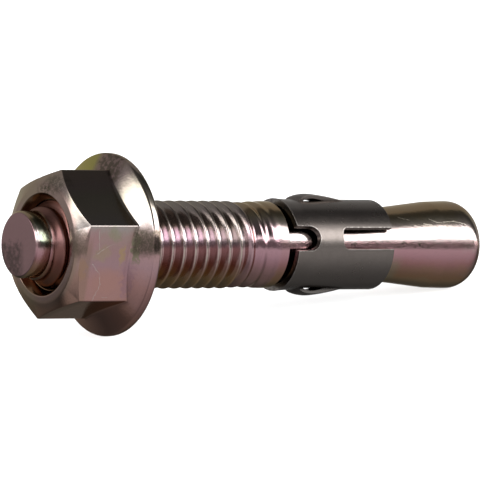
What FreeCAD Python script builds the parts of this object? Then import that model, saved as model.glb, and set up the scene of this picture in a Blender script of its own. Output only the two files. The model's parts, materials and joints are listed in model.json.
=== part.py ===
import FreeCAD, Part
import Sketcher
import math
import os

# Wedge anchor with a flange nut: a turned and rolled steel stud, a flange nut and an expansion clip.
# Each piece is drawn about its own Z axis, which is the axis of the stud. Z is 0 at the stud's flat
# point and grows towards the wedge. All three pieces are then laid down together, as the anchor rests
# on the floor: on the rim of the nut's flange and on the round end of the wedge.

# Driving sizes in millimetres, and angles in degrees
SIZES = [
    # The drilled hole that the anchor fits, which every diameter of the stud and the clip follows
    ("hole_diameter", 12.7),
    # The stud, from its flat point to the end of the wedge, and where the seam of its round faces lies
    ("point_step", 1.575),
    ("point_length", 2.4),
    ("point_chamfer", 0.3),
    ("lead_length", 2.6),
    ("thread_allowance", 0.25),
    ("thread_length", 29.6),
    ("runout_length", 2.1),
    ("waist_depth", 0.4),
    ("waist_length", 1.0),
    ("ramp_length", 1.2),
    ("ramp_radius", 1.0),
    ("collar_allowance", 0.3),
    ("collar_length", 2.8),
    ("collar_chamfer", 0.2),
    ("wedge_rise", 1.55),
    ("neck_length", 12.9),
    ("neck_root", 0.4),
    ("cone_angle", 4.85),
    ("land_length", 0.9),
    ("end_radius", 3.4),
    ("stud_turn", 49),
    # The flange nut, from its outer face to its bearing face
    ("nut_setback", 4.2),
    ("nut_height", 11.1),
    ("hex_across_flats", 18.7),
    ("hex_edge_radius", 0.2),
    ("bevel_inset", 0.2),
    ("bevel_angle", 30),
    ("hex_turn", 7.5),
    ("flange_diameter", 25.6),
    ("flange_cone_angle", 28),
    ("rim_thickness", 1.25),
    ("rim_chamfer", 0.35),
    ("thread_clearance", 0.06),
    ("mouth_chamfer", 0.52),
    # The expansion clip, from its flared edge to its edge on the wedge
    ("clip_gap", 1.3),
    ("clip_length", 16.9),
    ("clip_thickness", 0.92),
    ("clip_clearance", 0.3),
    ("clip_turn", 261),
    ("flare_height", 0.16),
    ("flare_length", 2.4),
    ("notch_width", 3.4),
    ("notch_length", 4.0),
    ("slot_width", 3.15),
    ("slot_length", 8.9),
    ("slot_corner_radius", 0.6),
    ("slot_turn", 6.3),
    ("seam_width", 0.9),
    ("wing_width", 3.4),
    ("wing_rise", 0.83),
    ("wing_start", 2.5),
    ("wing_front_length", 3.1),
    ("wing_back_length", 5.7),
]

# What follows from the driving sizes: stations along the axis, radii, and the tilt of the axis at rest
DERIVED = [
    ("thread_diameter", "=hole_diameter - thread_allowance"),
    ("point_diameter", "=thread_diameter - 2 * point_step"),
    ("collar_diameter", "=hole_diameter - collar_allowance"),
    ("waist_diameter", "=collar_diameter - 2 * waist_depth"),
    ("neck_diameter", "=hole_diameter - 2 * wedge_rise"),
    ("neck_root_width", "=min(neck_root; (collar_diameter - neck_diameter) / 2 - collar_chamfer)"),
    ("lead_end", "=point_length + lead_length"),
    ("thread_end", "=lead_end + thread_length"),
    ("waist_start", "=thread_end + runout_length"),
    ("waist_end", "=waist_start + waist_length"),
    ("collar_start", "=waist_end + ramp_length"),
    ("shoulder", "=collar_start + collar_length"),
    ("neck_end", "=shoulder + neck_length"),
    ("cone_slope", "=tan(cone_angle * 1deg)"),
    ("cone_end", "=neck_end + wedge_rise / cone_slope"),
    ("land_end", "=cone_end + land_length"),
    ("stud_end", "=land_end + end_radius"),
    ("nut_end", "=nut_setback + nut_height"),
    ("nut_bore", "=thread_diameter + 2 * thread_clearance"),
    ("mouth_radius", "=nut_bore / 2 + mouth_chamfer"),
    ("hex_corner_radius", "=hex_across_flats / sqrt(3)"),
    ("bevel_radius", "=hex_across_flats / 2 - bevel_inset"),
    ("bevel_reach", "=hex_corner_radius + bevel_inset"),
    ("bevel_depth", "=(bevel_reach - bevel_radius) * tan(bevel_angle * 1deg)"),
    ("rim_start", "=nut_end - rim_thickness"),
    ("flange_apex", "=rim_start - flange_diameter / 2 * tan(flange_cone_angle * 1deg)"),
    ("clip_start", "=shoulder + clip_gap"),
    ("clip_end", "=clip_start + clip_length"),
    ("clip_bore_radius", "=neck_diameter / 2 + max(0; clip_end - neck_end) * cone_slope + clip_clearance"),
    ("clip_radius", "=clip_bore_radius + clip_thickness"),
    ("wing_peak", "=clip_start + wing_start + wing_front_length"),
    ("wing_top", "=clip_radius + wing_rise"),
    ("trim_reach", "=2 * wing_top"),
    ("front_bend", "=(wing_front_length ^ 2 + wing_rise ^ 2) / (2 * wing_rise)"),
    ("back_bend", "=(wing_back_length ^ 2 + wing_rise ^ 2) / (2 * wing_rise)"),
    # At rest the edge of the flange's rim and the round on the end of the wedge touch the floor
    ("rim_edge", "=nut_end - rim_chamfer"),
    ("end_round_radius", "=hole_diameter / 2 - end_radius"),
    ("rest_run", "=land_end - rim_edge"),
    ("rest_drop", "=flange_diameter / 2 - end_round_radius"),
    ("rest_reach", "=sqrt(rest_run ^ 2 + rest_drop ^ 2)"),
    ("rest_tilt", "=(atan(rest_drop / rest_run) - asin(end_radius / rest_reach)) / 1deg"),
    ("tilt_sine", "=sin(rest_tilt * 1deg)"),
    ("tilt_cosine", "=cos(rest_tilt * 1deg)"),
    ("axis_height", "=rim_edge * tilt_sine + flange_diameter / 2 * tilt_cosine"),
    ("near_end", "=-(point_diameter / 2 - point_chamfer) * tilt_sine"),
    ("far_end", "=land_end * tilt_cosine + end_round_radius * tilt_sine + end_radius"),
    ("axis_start", "=-(near_end + far_end) / 2"),
]

# How near two values lie when they count as the same
NEAR = 0.001
# How a sketch counts the points of a line or an arc, and its own origin
START, END, CENTRE = range(1, 4)
ORIGIN = (-1, START)
FULL_TURN = 360
HEX_SIDES = 6
WINGS = 2

doc = FreeCAD.newDocument("WedgeAnchor")
sheet = doc.addObject("Spreadsheet::Sheet", "Sizes")
for row, (alias, entry) in enumerate(SIZES + DERIVED, start=1):
    sheet.set("A%d" % row, alias)
    sheet.set("B%d" % row, str(entry))
    sheet.setAlias("B%d" % row, alias)
doc.recompute()


def size(alias):
    """The value of one cell, as a plain number."""
    return float(sheet.get(alias))


def new_body(label):
    """A body for one piece, whose label names its file."""
    body = doc.addObject("PartDesign::Body", label)
    body.Label = label
    return body


def lay_down(body, turn):
    """Turns a body about its own axis, then lays it down as the anchor rests on the floor."""
    spin = "placement(vector(0; 0; 0); rotation(vector(0; 0; 1); %s))" % turn
    rest = ("placement(vector(Sizes.axis_start; 0; Sizes.axis_height);"
            " rotation(vector(0; 1; 0); 90 + Sizes.rest_tilt))")
    body.setExpression("Placement", rest + " * " + spin)


def origin_plane(body, role):
    """One of the three origin planes of a body."""
    return [item for item in body.Origin.OriginFeatures if item.Role == role][0]


def new_sketch(body, role, name):
    """A sketch on an origin plane. On XZ and YZ its first axis is radial and its second is the stud's."""
    sketch = body.newObject("Sketcher::SketchObject", name)
    sketch.AttachmentSupport = [(origin_plane(body, role), "")]
    sketch.MapMode = "FlatFace"
    return sketch


def worth(sketch, formula):
    """What a formula comes to at the sheet's present values."""
    return float(sketch.evalExpression(formula))


def tie(sketch, kind, targets, formula):
    """One dimension of a sketch, which follows the sheet from then on."""
    index = sketch.addConstraint(Sketcher.Constraint(kind, *targets, worth(sketch, formula)))
    sketch.setExpression("Constraints[%d]" % index, formula)


def tie_point(sketch, line, end, place):
    """Ties one end of a line to a place given as two formulas: radial, along the axis."""
    tie(sketch, "DistanceX", (*ORIGIN, line, end), place[0])
    tie(sketch, "DistanceY", (*ORIGIN, line, end), place[1])


def outline(sketch, corners):
    """A closed outline of straight edges with a formula for each coordinate of its corners."""
    places = [FreeCAD.Vector(worth(sketch, radial), worth(sketch, along), 0) for radial, along in corners]
    first = sketch.GeometryCount
    for index, place in enumerate(places):
        sketch.addGeometry(Part.LineSegment(place, places[(index + 1) % len(places)]), False)
    for index, corner in enumerate(corners):
        before = first + (index - 1) % len(places)
        sketch.addConstraint(Sketcher.Constraint("Coincident", before, END, first + index, START))
        tie_point(sketch, first + index, START, corner)


def wing_arc(sketch, bend, crest, foot, side):
    """An arc from a wing's crest down to a foot radius, before the crest or after it (side -1 or 1)."""
    radius = worth(sketch, bend)
    middle = worth(sketch, crest) - radius
    spread = math.acos((worth(sketch, foot) - middle) / radius)
    centre = FreeCAD.Vector(middle, size("wing_peak"), 0)
    circle = Part.Circle(centre, FreeCAD.Vector(0, 0, 1), radius)
    angles = (-spread, 0) if side < 0 else (0, spread)
    arc = sketch.addGeometry(Part.ArcOfCircle(circle, *angles), False)
    crest_end, foot_end = (END, START) if side < 0 else (START, END)
    tie_point(sketch, arc, CENTRE, (crest + " - (" + bend + ")", "Sizes.wing_peak"))
    tie(sketch, "Radius", (arc,), bend)
    tie(sketch, "DistanceY", (*ORIGIN, arc, crest_end), "Sizes.wing_peak")
    tie(sketch, "DistanceX", (*ORIGIN, arc, foot_end), foot)
    return arc


def settle(feature, before):
    """Recomputes a new feature and stops if it did nothing, as a cut that points away would."""
    doc.recompute()
    if feature.Shape.isNull() or abs(feature.Shape.Volume - before) < NEAR:
        raise RuntimeError(feature.Label + " changes nothing")
    return feature


def volume_of(body):
    """Volume of a body so far, or 0 before its first feature."""
    return 0 if body.Shape.isNull() else body.Shape.Volume


def turn_about_axis(body, kind, sketch, name):
    """A solid of revolution, or a cut of that form, about the second axis of its sketch."""
    before = volume_of(body)
    feature = body.newObject(kind, name)
    feature.Profile = sketch
    feature.ReferenceAxis = (sketch, ["V_Axis"])
    feature.Angle = FULL_TURN
    return settle(feature, before)


def cut_across(body, sketch, name, length=None, midplane=False, towards_normal=False):
    """A pocket of a given length, or through everything on its side of the sketch."""
    before = volume_of(body)
    pocket = body.newObject("PartDesign::Pocket", name)
    pocket.Profile = sketch
    pocket.Midplane = midplane
    pocket.Reversed = towards_normal
    if length is None:
        pocket.Type = "ThroughAll"
    else:
        pocket.setExpression("Length", length)
    return settle(pocket, before)


def rings(feature, places):
    """Names of the round edges of a feature that lie at the given radii and stations."""
    names = []
    for index, edge in enumerate(feature.Shape.Edges, start=1):
        if not isinstance(edge.Curve, Part.Circle):
            continue
        for radius, along in places:
            same_radius = abs(edge.Curve.Radius - radius) < NEAR
            if same_radius and abs(edge.Curve.Center.z - along) < NEAR:
                names.append("Edge%d" % index)
    return names


def round_off(body, feature, edges, radius, name):
    """A fillet over some edges of the last feature."""
    before = volume_of(body)
    fillet = body.newObject("PartDesign::Fillet", name)
    fillet.Base = (feature, edges)
    fillet.setExpression("Radius", radius)
    return settle(fillet, before)


def bevel_off(body, feature, edges, width, name):
    """A chamfer over some edges of the last feature, which fills an inside corner as a fillet would."""
    before = volume_of(body)
    chamfer = body.newObject("PartDesign::Chamfer", name)
    chamfer.Base = (feature, edges)
    chamfer.setExpression("Size", width)
    return settle(chamfer, before)


def upright_edges(feature):
    """Names of the edges of a feature that run along the axis."""
    names = []
    for index, edge in enumerate(feature.Shape.Edges, start=1):
        ends = [vertex.Z for vertex in edge.Vertexes]
        if abs(ends[0] - ends[-1]) > NEAR:
            names.append("Edge%d" % index)
    return names


def rectangle(width, low, high):
    """Corners of a rectangle that lies evenly about the axis, between two stations."""
    left = "-" + width + " / 2"
    right = width + " / 2"
    return [(left, low), (right, low), (right, high), (left, high)]


def level_edges(feature, along):
    """Names of the straight edges of a feature that lie wholly at one station."""
    names = []
    for index, edge in enumerate(feature.Shape.Edges, start=1):
        stations = [vertex.Z for vertex in edge.Vertexes]
        if isinstance(edge.Curve, Part.Line) and all(abs(station - along) < NEAR for station in stations):
            names.append("Edge%d" % index)
    return names


def turned_sketch(body, name):
    """A sketch that holds the axis, turned a little from the wings: its normal is where the notch opens."""
    sketch = new_sketch(body, "YZ_Plane", name)
    turned = "placement(vector(0; 0; 0); rotation(vector(0; 1; 0); -Sizes.slot_turn))"
    sketch.setExpression("AttachmentOffset", turned)
    return sketch


def make_stud():
    """The stud: flat point, threaded length, rolled waist, collar, neck under the clip, and the wedge."""
    body = new_body("anchor_body")
    sketch = new_sketch(body, "XZ_Plane", "StudProfile")
    outline(sketch, [
        ("0", "0"),
        ("Sizes.point_diameter / 2", "0"),
        ("Sizes.point_diameter / 2", "Sizes.point_length"),
        ("Sizes.thread_diameter / 2", "Sizes.lead_end"),
        ("Sizes.thread_diameter / 2", "Sizes.thread_end"),
        ("Sizes.waist_diameter / 2", "Sizes.waist_start"),
        ("Sizes.waist_diameter / 2", "Sizes.waist_end"),
        ("Sizes.collar_diameter / 2", "Sizes.collar_start"),
        ("Sizes.collar_diameter / 2", "Sizes.shoulder"),
        ("Sizes.neck_diameter / 2", "Sizes.shoulder"),
        ("Sizes.neck_diameter / 2", "Sizes.neck_end"),
        ("Sizes.hole_diameter / 2", "Sizes.cone_end"),
        ("Sizes.hole_diameter / 2", "Sizes.stud_end"),
        ("0", "Sizes.stud_end"),
    ])
    stud = turn_about_axis(body, "PartDesign::Revolution", sketch, "Stud")
    point = rings(stud, [(size("point_diameter") / 2, 0)])
    stud = bevel_off(body, stud, point, "Sizes.point_chamfer", "PointEdge")
    ramp = rings(stud, [(size("waist_diameter") / 2, size("waist_end")),
                        (size("collar_diameter") / 2, size("collar_start"))])
    stud = round_off(body, stud, ramp, "Sizes.ramp_radius", "RampRounds")
    collar = rings(stud, [(size("collar_diameter") / 2, size("shoulder"))])
    stud = bevel_off(body, stud, collar, "Sizes.collar_chamfer", "CollarEdge")
    root = rings(stud, [(size("neck_diameter") / 2, size("shoulder"))])
    stud = bevel_off(body, stud, root, "Sizes.neck_root_width", "NeckRoot")
    end = rings(stud, [(size("hole_diameter") / 2, size("stud_end"))])
    round_off(body, stud, end, "Sizes.end_radius", "WedgeEnd")
    lay_down(body, "Sizes.stud_turn")
    return body


def make_nut():
    """The nut: a bevelled hexagon and a conical flange in one piece, bored clear of the stud's thread."""
    body = new_body("flange_nut")
    hexagon = body.newObject("PartDesign::AdditivePrism", "Hexagon")
    hexagon.AttachmentSupport = [(origin_plane(body, "XY_Plane"), "")]
    hexagon.MapMode = "FlatFace"
    hexagon.Polygon = HEX_SIDES
    hexagon.setExpression("AttachmentOffset.Base.z", "Sizes.nut_setback")
    hexagon.setExpression("Circumradius", "Sizes.hex_corner_radius")
    hexagon.setExpression("Height", "Sizes.nut_height")
    doc.recompute()
    round_off(body, hexagon, upright_edges(hexagon), "Sizes.hex_edge_radius", "HexEdges")
    bevel = new_sketch(body, "XZ_Plane", "BevelProfile")
    outline(bevel, [
        ("Sizes.bevel_radius", "Sizes.nut_setback"),
        ("Sizes.bevel_reach", "Sizes.nut_setback"),
        ("Sizes.bevel_reach", "Sizes.nut_setback + Sizes.bevel_depth"),
    ])
    turn_about_axis(body, "PartDesign::Groove", bevel, "Bevel")
    cone = new_sketch(body, "XZ_Plane", "FlangeProfile")
    outline(cone, [
        ("0", "Sizes.flange_apex"),
        ("Sizes.flange_diameter / 2", "Sizes.rim_start"),
        ("Sizes.flange_diameter / 2", "Sizes.nut_end"),
        ("0", "Sizes.nut_end"),
    ])
    turn_about_axis(body, "PartDesign::Revolution", cone, "Flange")
    bore = new_sketch(body, "XZ_Plane", "BoreProfile")
    outline(bore, [
        ("0", "Sizes.nut_setback"),
        ("Sizes.mouth_radius", "Sizes.nut_setback"),
        ("Sizes.nut_bore / 2", "Sizes.nut_setback + Sizes.mouth_chamfer"),
        ("Sizes.nut_bore / 2", "Sizes.nut_end - Sizes.mouth_chamfer"),
        ("Sizes.mouth_radius", "Sizes.nut_end"),
        ("0", "Sizes.nut_end"),
    ])
    nut = turn_about_axis(body, "PartDesign::Groove", bore, "Bore")
    rim_radius = size("flange_diameter") / 2
    rim = rings(nut, [(rim_radius, size("rim_start")), (rim_radius, size("nut_end"))])
    bevel_off(body, nut, rim, "Sizes.rim_chamfer", "RimEdges")
    lay_down(body, "Sizes.hex_turn")
    return body


def wing_profile(sketch, front_bend, back_bend, crest, foot):
    """A wing's side view above a foot radius: two arcs that meet level at the crest, and a chord."""
    front = wing_arc(sketch, front_bend, crest, foot, -1)
    back = wing_arc(sketch, back_bend, crest, foot, 1)
    start = sketch.getPoint(front, START)
    end = sketch.getPoint(back, END)
    chord = sketch.addGeometry(Part.LineSegment(end, start), False)
    sketch.addConstraint(Sketcher.Constraint("Coincident", back, END, chord, START))
    sketch.addConstraint(Sketcher.Constraint("Coincident", front, START, chord, END))


def make_wings(body):
    """Two wings, drawn first as a raised band right round and then cut down to a strip on each side."""
    band = new_sketch(body, "XZ_Plane", "WingProfile")
    wing_profile(band, "Sizes.front_bend", "Sizes.back_bend", "Sizes.wing_top", "Sizes.clip_radius")
    turn_about_axis(body, "PartDesign::Revolution", band, "WingBand")
    sides = new_sketch(body, "XY_Plane", "WingSides")
    for side in ("", "-"):
        outline(sides, [
            (side + "Sizes.wing_width / 2", "-Sizes.trim_reach"),
            (side + "Sizes.trim_reach", "-Sizes.trim_reach"),
            (side + "Sizes.trim_reach", "Sizes.trim_reach"),
            (side + "Sizes.wing_width / 2", "Sizes.trim_reach"),
        ])
    cut_across(body, sides, "WingTrim", towards_normal=True)


def make_windows(body):
    """The openings that the wings leave in the wall: all that lies under each wing's flat inner face."""
    opening = new_sketch(body, "YZ_Plane", "WindowProfile")
    wing_profile(opening,
                 "Sizes.front_bend - Sizes.clip_thickness", "Sizes.back_bend - Sizes.clip_thickness",
                 "Sizes.wing_top - Sizes.clip_thickness", "Sizes.clip_bore_radius - Sizes.clip_thickness")
    window = cut_across(body, opening, "Window", length="Sizes.wing_width", midplane=True)
    before = volume_of(body)
    pair = body.newObject("PartDesign::PolarPattern", "WindowPair")
    pair.Originals = [window]
    pair.Axis = (opening, ["V_Axis"])
    pair.Angle = FULL_TURN
    pair.Occurrences = WINGS
    body.Tip = pair
    settle(pair, before)


def make_slots(body):
    """A round-ended notch from the flared edge, a slot from the edge on the wedge, and the seam opposite."""
    notch = turned_sketch(body, "NotchProfile")
    half = "Sizes.notch_width / 2"
    bend = "Sizes.clip_start + Sizes.notch_length - " + half
    below = "Sizes.clip_start - " + half
    centre = FreeCAD.Vector(0, worth(notch, bend), 0)
    circle = Part.Circle(centre, FreeCAD.Vector(0, 0, 1), worth(notch, half))
    tip = notch.addGeometry(Part.ArcOfCircle(circle, 0, math.pi), False)
    tie_point(notch, tip, CENTRE, ("0", bend))
    tie(notch, "Radius", (tip,), half)
    tie(notch, "DistanceY", (*ORIGIN, tip, START), bend)
    tie(notch, "DistanceY", (*ORIGIN, tip, END), bend)
    left = FreeCAD.Vector(-worth(notch, half), worth(notch, below), 0)
    right = FreeCAD.Vector(worth(notch, half), worth(notch, below), 0)
    stops = [notch.getPoint(tip, END), left, right, notch.getPoint(tip, START)]
    side, floor, other_side = [
        notch.addGeometry(Part.LineSegment(start, end), False) for start, end in zip(stops, stops[1:])]
    for one, two in ((tip, side), (side, floor), (floor, other_side), (other_side, tip)):
        notch.addConstraint(Sketcher.Constraint("Coincident", one, END, two, START))
    tie_point(notch, floor, START, ("-" + half, below))
    tie_point(notch, floor, END, (half, below))
    cut_across(body, notch, "Notch", towards_normal=True)
    slot = turned_sketch(body, "SlotProfile")
    outline(slot, rectangle("Sizes.slot_width", "Sizes.clip_end - Sizes.slot_length",
                            "Sizes.clip_end + Sizes.slot_width"))
    cut = cut_across(body, slot, "Slot", towards_normal=True)
    corners = level_edges(cut, size("clip_end") - size("slot_length"))
    round_off(body, cut, corners, "Sizes.slot_corner_radius", "SlotCorners")
    seam = turned_sketch(body, "SeamProfile")
    outline(seam, rectangle("Sizes.seam_width", "Sizes.clip_start - Sizes.seam_width",
                            "Sizes.clip_end + Sizes.seam_width"))
    cut_across(body, seam, "Seam")


def make_clip():
    """The clip: a rolled steel ring with a seam, a notch, a slot and two wings pressed out of its wall."""
    body = new_body("expansion_clip")
    make_wings(body)
    ring = new_sketch(body, "XZ_Plane", "RingProfile")
    outline(ring, [
        ("Sizes.clip_bore_radius + Sizes.flare_height", "Sizes.clip_start"),
        ("Sizes.clip_radius + Sizes.flare_height", "Sizes.clip_start"),
        ("Sizes.clip_radius", "Sizes.clip_start + Sizes.flare_length"),
        ("Sizes.clip_radius", "Sizes.clip_end"),
        ("Sizes.clip_bore_radius", "Sizes.clip_end"),
        ("Sizes.clip_bore_radius", "Sizes.clip_start + Sizes.flare_length"),
    ])
    turn_about_axis(body, "PartDesign::Revolution", ring, "Ring")
    make_windows(body)
    make_slots(body)
    lay_down(body, "Sizes.clip_turn")
    return body


def check(pieces):
    """Stops before anything is written if an object failed or a piece isn't one valid solid."""
    for item in doc.Objects:
        if "Invalid" in item.State or "Error" in item.State:
            raise RuntimeError(item.Label + " failed: " + ", ".join(item.State))
    for piece in pieces:
        if piece.Shape.isNull() or not piece.Shape.isValid() or len(piece.Shape.Solids) != 1:
            raise RuntimeError(piece.Label + " isn't one valid solid")


pieces = [make_stud(), make_nut(), make_clip()]
doc.recompute()
check(pieces)
os.makedirs("parts", exist_ok=True)
for piece in pieces:
    piece.Shape.exportStep(os.path.join("parts", piece.Label + ".step"))
    box = piece.Shape.BoundBox
    print("%s: %.1f mm3, x %.2f to %.2f, y %.2f to %.2f, z %.2f to %.2f" % (
        piece.Label, piece.Shape.Volume, box.XMin, box.XMax, box.YMin, box.YMax, box.ZMin, box.ZMax))
print("Rest tilt %.3f degrees, axis at height %.3f" % (size("rest_tilt"), size("axis_height")))
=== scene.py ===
# %% [markdown]
# # A wedge anchor lying in the studio
#
# The real thing is three pieces of steel: a stud with a rolled thread and a tapered end, a flange nut
# and a sheet-steel clip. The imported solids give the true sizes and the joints. Here each piece gets
# the form and the finish that a camera sees: the thread, rounded edges, plating, scratches and burrs.

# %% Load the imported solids
import json
import math

import bmesh
import bpy
import numpy as np
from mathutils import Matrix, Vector


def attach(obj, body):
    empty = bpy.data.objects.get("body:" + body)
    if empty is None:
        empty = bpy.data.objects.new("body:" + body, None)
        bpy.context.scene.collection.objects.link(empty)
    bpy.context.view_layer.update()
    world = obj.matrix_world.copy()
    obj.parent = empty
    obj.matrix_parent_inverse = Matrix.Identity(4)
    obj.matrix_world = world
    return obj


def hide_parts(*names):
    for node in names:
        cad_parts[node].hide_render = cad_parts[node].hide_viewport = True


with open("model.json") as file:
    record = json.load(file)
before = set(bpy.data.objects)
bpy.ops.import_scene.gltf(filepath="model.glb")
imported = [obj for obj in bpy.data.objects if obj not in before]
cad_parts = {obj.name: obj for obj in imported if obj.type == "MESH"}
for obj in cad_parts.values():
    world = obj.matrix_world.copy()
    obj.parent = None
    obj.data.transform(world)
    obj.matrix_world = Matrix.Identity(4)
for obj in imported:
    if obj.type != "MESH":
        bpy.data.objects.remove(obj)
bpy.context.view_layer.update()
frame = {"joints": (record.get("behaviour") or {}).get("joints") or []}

# %% [markdown]
# ## Where things are
#
# Every piece is round about one line, the axis of the stud. So a point is given by its station, which
# is its distance from the flat point along the axis in mm, its radius in mm, and its angle round the
# axis. The nut's hinge lies on that axis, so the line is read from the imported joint, and nothing has
# to be fitted by eye. Angles start on the side that faces the camera and go up, and that side is
# given as an angle from straight below.

# %% The stud's axis, and a way to place points round it
MM = 0.001
HINGE_STATION = 9.75
CAMERA_SIDE = 261
hinge = next(joint for joint in frame["joints"] if joint["name"] == "nut_turn")
ALONG = np.array(hinge["axis"]) / np.linalg.norm(hinge["axis"])
SIDE = np.array([0.0, 1.0, 0.0])
DOWN = np.cross(SIDE, ALONG)
FLAT_POINT = np.array(hinge["pos_m"]) - ALONG * HINGE_STATION * MM


def spoke(angle):
    """The direction away from the axis at an angle in degrees, which starts at the camera's side."""
    turn = np.radians(CAMERA_SIDE - np.asarray(angle, float))
    return np.cos(turn)[..., None] * DOWN + np.sin(turn)[..., None] * SIDE


def place(station, radius, angle):
    """World positions in metres, from stations and radii in mm and angles in degrees."""
    station, radius, angle = np.broadcast_arrays(station, radius, angle)
    out = radius[..., None] * spoke(angle) + station[..., None] * ALONG
    return FLAT_POINT + out * MM


FRONT = spoke(0)
UPWARD = spoke(90)
print("axis", ALONG.round(4), "front", FRONT.round(3), "up", UPWARD.round(3))

# %% [markdown]
# ## Meshes from rings
#
# Turned parts are rings of points joined to their neighbours. A grid of rows and columns covers the
# stud and the nut, and one helper turns it into a closed mesh. Rows may lean: on a thread each turn
# ends one pitch further on, so the last column meets the first one some rows later.

# %% A mesh from a ring grid
def ring_faces(rows, columns, lean=0, first=0):
    """Four-sided faces of a closed grid. Past the last column, a row meets the row `lean` further on."""
    row, column = np.meshgrid(np.arange(rows - 1), np.arange(columns), indexing="ij")
    after = (column + 1) % columns
    jump = np.where(after == 0, lean, 0)
    near = np.clip(row + jump, 0, rows - 1)
    far = np.clip(row + 1 + jump, 0, rows - 1)
    ahead = [near * columns + after, far * columns + after]
    corners = [row * columns + column, *ahead, (row + 1) * columns + column]
    return np.stack(corners, axis=-1).reshape(-1, 4) + first


def make_mesh(name, points, faces, sharp_over=35):
    """A closed mesh object: doubled points are merged, and edges over an angle are kept sharp."""
    mesh = bpy.data.meshes.new(name)
    mesh.from_pydata(points.reshape(-1, 3).tolist(), [], faces.tolist())
    form = bmesh.new()
    form.from_mesh(mesh)
    bmesh.ops.remove_doubles(form, verts=form.verts, dist=0.0008 * MM)
    bmesh.ops.dissolve_degenerate(form, edges=form.edges, dist=0.0004 * MM)
    bmesh.ops.recalc_face_normals(form, faces=form.faces)
    form.to_mesh(mesh)
    form.free()
    mesh.shade_smooth()
    mesh.set_sharp_from_angle(angle=math.radians(sharp_over))
    piece = bpy.data.objects.new(name, mesh)
    bpy.context.scene.collection.objects.link(piece)
    triangles = sum(len(face.vertices) - 2 for face in mesh.polygons)
    print(f"{name}: {len(mesh.vertices)} points, {triangles} triangles")
    return piece


def seat(piece, body, node):
    """A detailed piece moves with its body and stands for the plain solid."""
    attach(piece, body)
    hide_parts(node)


# %% [markdown]
# ## Corners of a turned profile
#
# No edge of a real steel part is perfectly sharp, and the thin bright line on a rounded edge is what
# makes it look like metal. So a profile is written as corners, each with a small radius, and a helper
# replaces each corner by an arc.

# %% Rounding the corners of a profile
def rounded(corners, steps=5, runs=3):
    """A profile through (station, radius, rounding) corners: an arc at each, and `runs` parts between."""
    corners = np.asarray(corners, float)
    out = [corners[0, :2]]

    def line_to(end):
        start = out[-1]
        out.extend(start + (end - start) * share for share in np.linspace(0, 1, runs + 1)[1:])

    for before, here, after in zip(corners, corners[1:], corners[2:]):
        back, ahead = before[:2] - here[:2], after[:2] - here[:2]
        room = 0.49 * min(np.linalg.norm(back), np.linalg.norm(ahead))
        back, ahead = back / np.linalg.norm(back), ahead / np.linalg.norm(ahead)
        half = 0.5 * math.acos(np.clip(back @ ahead, -1, 1))
        reach = min(here[2] / max(math.tan(half), 1e-6), room)
        start, end = here[:2] + back * reach, here[:2] + ahead * reach
        line_to(start)
        for share in np.linspace(0, 1, steps + 1)[1:]:
            out.append((1 - share) ** 2 * start + 2 * share * (1 - share) * here[:2] + share ** 2 * end)
    line_to(corners[-1, :2])
    return np.array(out)


# %% [markdown]
# ## The stud's thread
#
# The thread is rolled, not cut: dies press the grooves in and push the crests up, so the crests are
# softly rounded and both ends run out gently. A half-inch thread has 13 turns to the inch. Its rows
# follow the helix, so each crest and each root is one clean line of the mesh. A bump map would be
# cheaper, but it leaves the outline smooth, and the outline is where one sees a thread first.
#
# Two lines along the stud say where the crests and the roots lie. They start on the lead cone. Behind
# the last full turn the crests dip to a waist while the roots rise, and the two meet on the collar,
# where the last shallow turns run out.

# %% The thread's section and where it starts and ends
PITCH = 25.4 / 13
POINT_RADIUS, POINT_LENGTH = 4.65, 2.4
COLLAR_RADIUS = 6.2
THREAD_STOP = 40.3
CREST_AT = 21.61
FIRST_RISE = 0.35
CREST_LINE = [
    (POINT_LENGTH, 4.8), (3.4, 5.2), (5.4, 6.225), (34.4, 6.225), (35.6, 6.14), (36.7, 6.04), (38.0, 6.13),
    (THREAD_STOP, COLLAR_RADIUS),
]
ROOT_LINE = [
    (POINT_LENGTH, 4.6), (4.2, 5.1), (34.0, 5.125), (35.2, 5.4), (36.7, 5.7), (38.0, 5.86),
    (THREAD_STOP, COLLAR_RADIUS),
]
SECTION = [
    (0, 0), (0.09, 0.01), (0.16, 0.045), (0.22, 0.11), (0.5175, 0.53), (0.74, 0.9), (0.83, 0.985),
    (PITCH / 2, 1),
]
ROWS = [side * off for off, _ in SECTION[1:-1] for side in (-1, 1)]
ROWS = sorted([-PITCH / 2, 0, *ROWS])
TURNS = np.arange(-2, 24)
COLUMNS = 192


def groove(from_crest):
    """How deep the thread's section is, from 0 on the crest to 1 at the root, by the way from a crest."""
    return np.interp(np.abs(from_crest), *zip(*SECTION))


def thread_radius(station, from_crest):
    """The stud's radius where it is threaded."""
    crest = np.interp(station, *zip(*CREST_LINE))
    root = np.interp(station, *zip(*ROOT_LINE))
    rise = np.clip((station - POINT_LENGTH) / FIRST_RISE, 0, 1)
    return root + (crest - root) * rise * (1 - groove(from_crest))


def thread_grid():
    """Points of the helical rows."""
    angles = 360 * np.arange(COLUMNS) / COLUMNS
    rows = (CREST_AT % PITCH + PITCH * TURNS[:, None] + np.array(ROWS)).reshape(-1, 1)
    off = np.tile(ROWS, len(TURNS)).reshape(-1, 1)
    station = rows - PITCH * angles / 360
    keep = (station.max(axis=1) > POINT_LENGTH - PITCH) & (station.min(axis=1) < THREAD_STOP + PITCH)
    station, off = station[keep], off[keep]
    station = np.clip(station, POINT_LENGTH, THREAD_STOP)
    return place(station, thread_radius(station, off), angles)


print("pitch", round(PITCH, 3), "mm,", len(ROWS), "rows to a turn")

# %% [markdown]
# ## The plain parts of the stud
#
# Before the thread is the flat dog point. After it come the collar, the neck that the clip sits on,
# and the wedge with its rounded end. They are one turned profile.

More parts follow.
